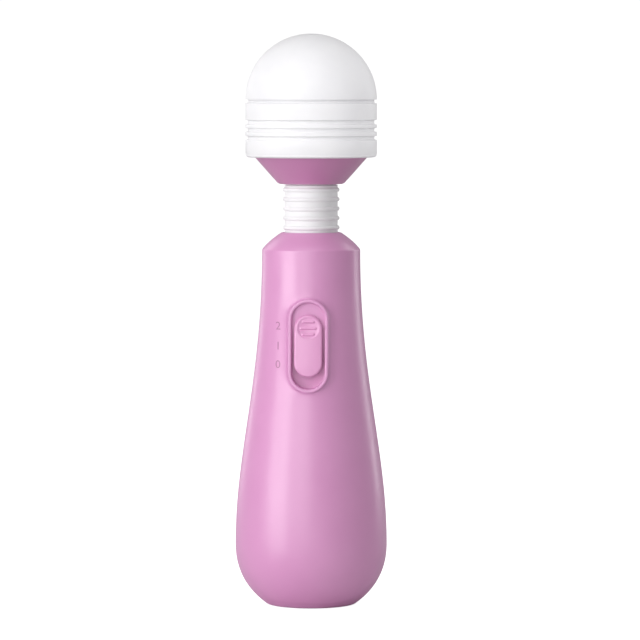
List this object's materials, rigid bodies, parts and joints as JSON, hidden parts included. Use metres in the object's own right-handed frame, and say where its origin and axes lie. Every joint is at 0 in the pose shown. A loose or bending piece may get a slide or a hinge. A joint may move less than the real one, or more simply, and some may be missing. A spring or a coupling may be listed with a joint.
{
  "type": "handheld wand massager",
  "caption": "Handheld battery massager: a tapered handle with a sliding speed switch, a sprung ribbed neck and a soft domed head that vibrates.",
  "frame": {"origin": "centre of the flat foot, at its lowest point", "axes": "+Z along the wand from foot to head, switch facing -Y"},
  "size_m": [0.0532, 0.0532, 0.2],
  "materials": {
    "pink_abs": "satin moulded",
    "white_silicone": "soft matte",
    "white_abs": "moulded",
    "black_nylon": "moulded",
    "black_rubber": "matte",
    "plated_steel": "zinc or nickel plated",
    "motor_steel": "drawn and plated",
    "brass": "turned",
    "laminate": "paper laminate",
    "cell_jacket": "printed film jacket",
    "red_pvc": "extruded",
    "black_pvc": "extruded"
  },
  "bodies": {
    "handle": {"battery_lead_black": "black_pvc", "battery_lead_red": "red_pvc", "battery_tray": "white_abs", "cell_front_left": "cell_jacket", "cell_front_right": "cell_jacket", "cell_rear_left": "cell_jacket", "cell_rear_right": "cell_jacket", "contact_plate_bridge": "plated_steel", "contact_plate_end_left": "plated_steel", "contact_plate_end_right": "plated_steel", "contact_plate_top_left": "plated_steel", "contact_plate_top_right": "plated_steel", "contact_spring_front_left": "plated_steel", "contact_spring_front_right": "plated_steel", "contact_spring_rear_left": "plated_steel", "contact_spring_rear_right": "plated_steel", "front_shell": "pink_abs", "lower_board_screw": "plated_steel", "neck_socket": "white_abs", "rear_shell": "pink_abs", "shell_screw_lower_left": "plated_steel", "shell_screw_lower_right": "plated_steel", "shell_screw_upper_left": "plated_steel", "shell_screw_upper_right": "plated_steel", "speed_resistor": "laminate", "switch_base": "laminate", "switch_board": "laminate", "switch_can": "plated_steel", "upper_board_screw": "plated_steel"},
    "switch": {"switch_knob": "pink_abs", "slider_plate": "white_abs", "switch_lever": "black_nylon"},
    "battery_door": {"battery_door": "pink_abs"},
    "neck": {"neck_sleeve": "white_silicone", "neck_spring": "plated_steel", "motor_lead_red": "red_pvc", "motor_lead_black": "black_pvc"},
    "head": {"head_collar": "pink_abs", "head_core": "white_abs", "head_cap": "white_silicone", "motor_boot": "black_rubber", "motor_can": "motor_steel", "motor_bush": "brass", "motor_end_cap": "black_nylon", "motor_terminal_red": "brass", "motor_terminal_black": "brass", "upper_spring_seat": "white_abs"},
    "rotor": {"motor_shaft": "plated_steel", "eccentric_weight": "brass"}
  },
  "joints": [
    {"name": "switch_slide", "type": "slide", "parent": "handle", "child": "switch", "axis": [0, 0, 1], "range_m": [-0.0038, 0.0038]},
    {"name": "battery_door_hinge", "type": "hinge", "parent": "handle", "child": "battery_door", "pos_m": [0, 0.02497, 0.0117], "axis": [-1, 0, 0], "range_deg": [0, 70]},
    {"name": "neck_nod", "type": "hinge", "parent": "handle", "child": "neck", "pos_m": [0, 0, 0.1349], "axis": [1, 0, 0], "range_deg": [-15, 15], "stiffness_Nm_per_rad": 1.2, "deforming": ["neck_sleeve", "neck_spring", "motor_lead_red", "motor_lead_black"]},
    {"name": "neck_sway", "type": "hinge", "parent": "neck", "child": "head", "pos_m": [0, 0, 0.1433], "axis": [0, 1, 0], "range_deg": [-15, 15], "stiffness_Nm_per_rad": 1.2, "deforming": ["neck_sleeve", "neck_spring", "motor_lead_red", "motor_lead_black"]},
    {"name": "motor_spin", "type": "hinge", "parent": "head", "child": "rotor", "pos_m": [0, 0, 0.1608], "axis": [0, 0, 1], "continuous": true}
  ]
}
